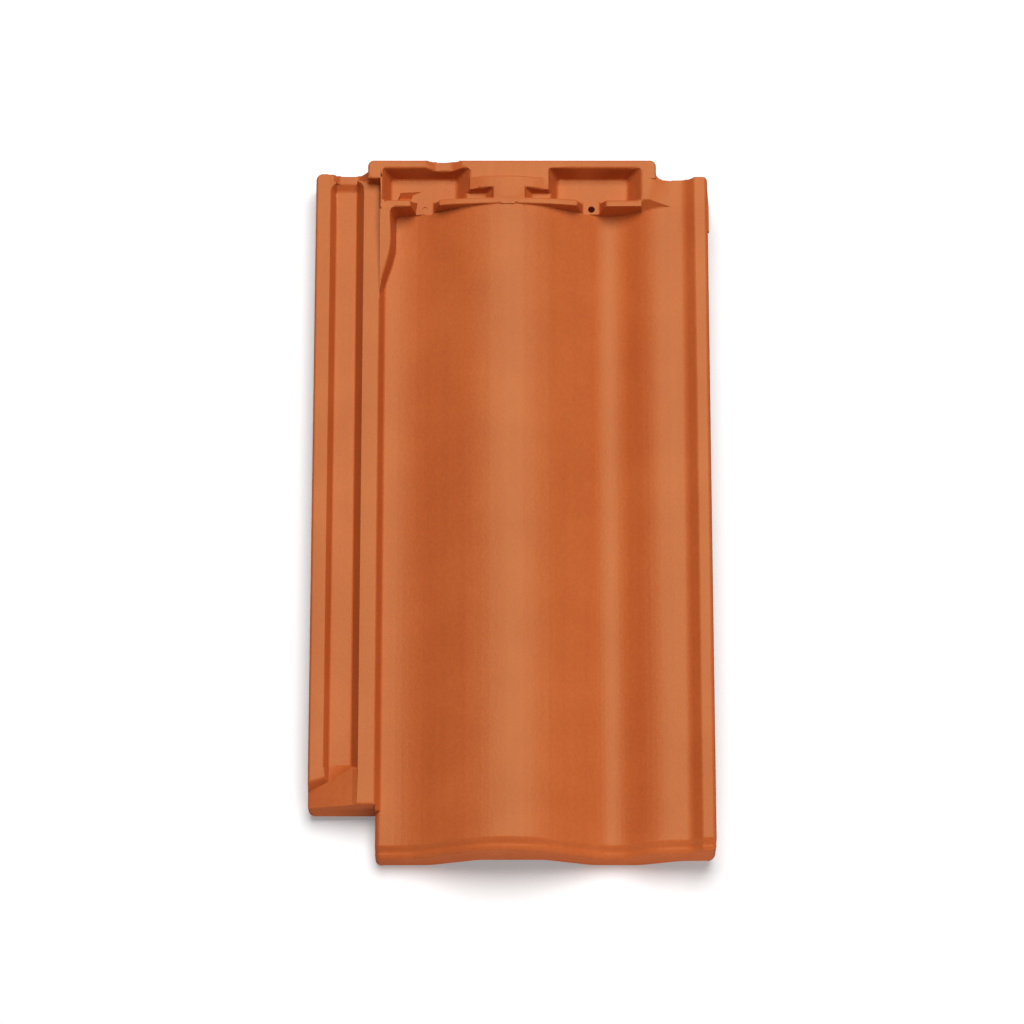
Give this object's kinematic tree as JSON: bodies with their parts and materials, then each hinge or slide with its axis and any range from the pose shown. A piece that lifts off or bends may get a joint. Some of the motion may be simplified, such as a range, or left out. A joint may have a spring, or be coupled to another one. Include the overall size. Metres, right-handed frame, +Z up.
{
  "type": "clay roof tile",
  "caption": "Interlocking pressed clay roof tile: a wavy field between a grooved side lock and a cover flap, with a pocketed head, nail holes, hanging nibs and a drip lip.",
  "frame": {"origin": "middle of the tile's footprint, on the level floor it lies on", "axes": "+X across the roof from the side lock to the cover flap, +Y up the roof from the foot to the head, +Z up"},
  "size_m": [0.2508, 0.4584, 0.0395],
  "materials": {
    "clay": "satin"
  },
  "bodies": {
    "root": {"roof_tile": "clay"}
  },
  "joints": []
}
